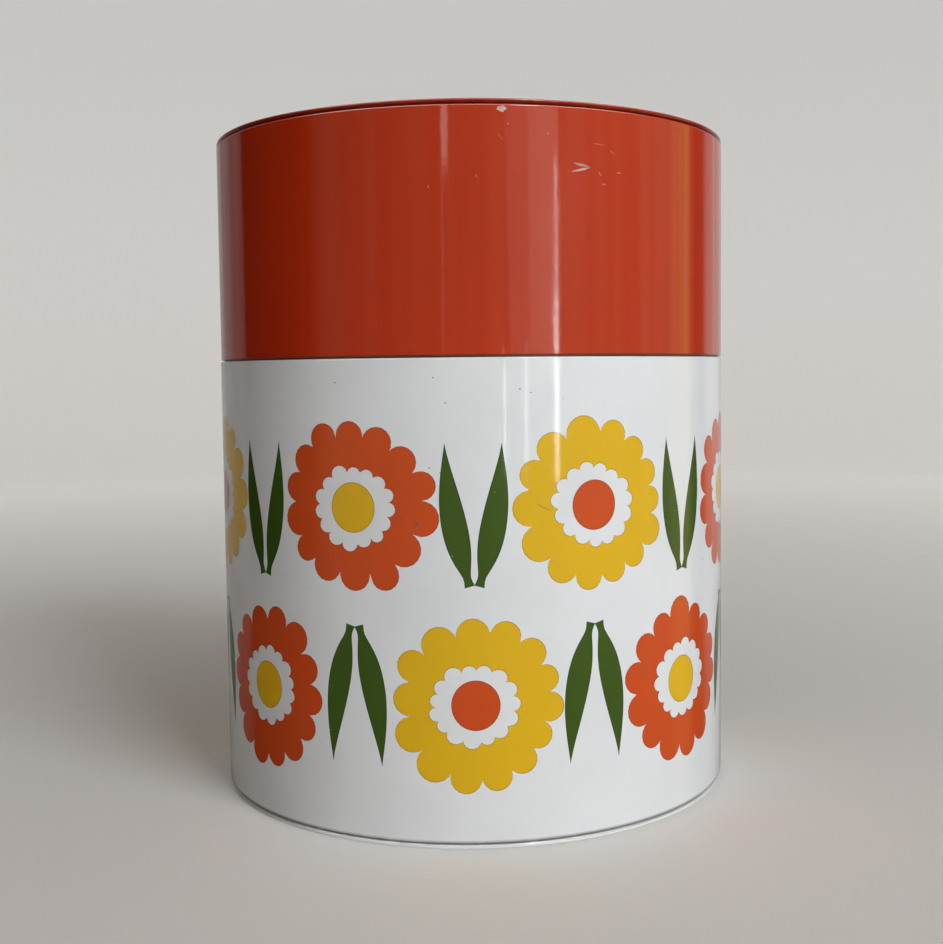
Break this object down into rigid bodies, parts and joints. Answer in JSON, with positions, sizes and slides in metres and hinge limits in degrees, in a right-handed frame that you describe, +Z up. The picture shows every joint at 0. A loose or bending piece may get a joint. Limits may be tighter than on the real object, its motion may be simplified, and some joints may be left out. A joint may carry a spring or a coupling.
{
  "type": "lidded storage tin",
  "caption": "Round storage canister of lacquered tinplate: straight printed wall, tall slip lid flush with it on a neck collar, rolled rims at the foot and top.",
  "frame": {"origin": "on the tin's axis, at the face of the base rim that stands on the table", "axes": "+Z up along the tin's axis, towards the lid; -Y towards the viewer who sees the printed front, +X to that viewer's right"},
  "size_m": [0.2, 0.2, 0.2486],
  "materials": {
    "white_lacquer": "gloss white lacquer with a printed pattern",
    "base_lacquer": "gloss white lacquer",
    "bare_tinplate": "bare tinplate, satin",
    "orange_lacquer": "gloss orange-red lacquer",
    "lid_top_lacquer": "gloss orange-red lacquer"
  },
  "bodies": {
    "canister": {"body_wall": "white_lacquer", "base_panel": "base_lacquer", "neck_collar": "bare_tinplate"},
    "lid": {"lid_wall": "orange_lacquer", "lid_top": "lid_top_lacquer"}
  },
  "joints": [
    {"name": "lid_lift", "type": "slide", "parent": "canister", "child": "lid", "axis": [0, 0, 1], "range_m": [0, 0.12]}
  ]
}
